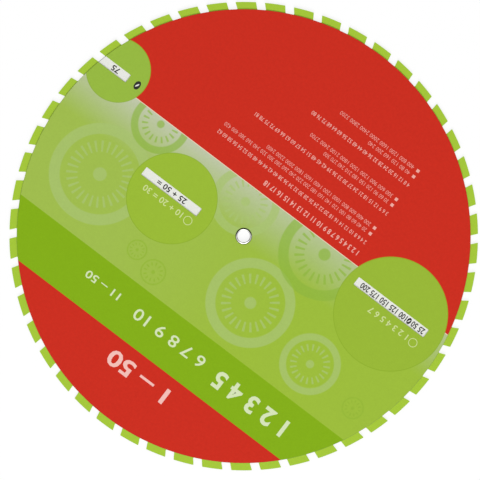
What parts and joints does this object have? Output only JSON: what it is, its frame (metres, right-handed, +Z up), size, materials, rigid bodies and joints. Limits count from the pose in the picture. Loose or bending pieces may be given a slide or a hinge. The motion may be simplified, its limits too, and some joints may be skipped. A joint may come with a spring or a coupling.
{
  "type": "vocabulary learning wheel",
  "caption": "Flat card reading wheel: a toothed word disc turns between two round covers with reading windows, on one hollow eyelet.",
  "frame": {"origin": "on the wheel's axis, at the level of the table that the wheel lies on, which is the flat of the eyelet's rear lip", "axes": "+Z up out of the front face, +X the way the front print reads, +Y the top of the front print"},
  "size_m": [0.205, 0.205, 0.0025],
  "materials": {
    "cover_card": "offset print in red and greens on white card, silk varnish",
    "disc_card": "white card printed in black, with green teeth",
    "eyelet_metal": "nickel-plated, slightly dulled"
  },
  "bodies": {
    "front_cover": {"front_cover": "cover_card", "eyelet": "eyelet_metal"},
    "word_disc": {"word_disc": "disc_card"},
    "back_cover": {"back_cover": "cover_card"}
  },
  "joints": [
    {"name": "word_disc_turn", "type": "hinge", "parent": "front_cover", "child": "word_disc", "pos_m": [0, 0, 0.00122], "axis": [0, 0, 1], "continuous": true},
    {"name": "back_cover_turn", "type": "hinge", "parent": "front_cover", "child": "back_cover", "pos_m": [0, 0, 0.00068], "axis": [0, 0, 1], "continuous": true}
  ]
}
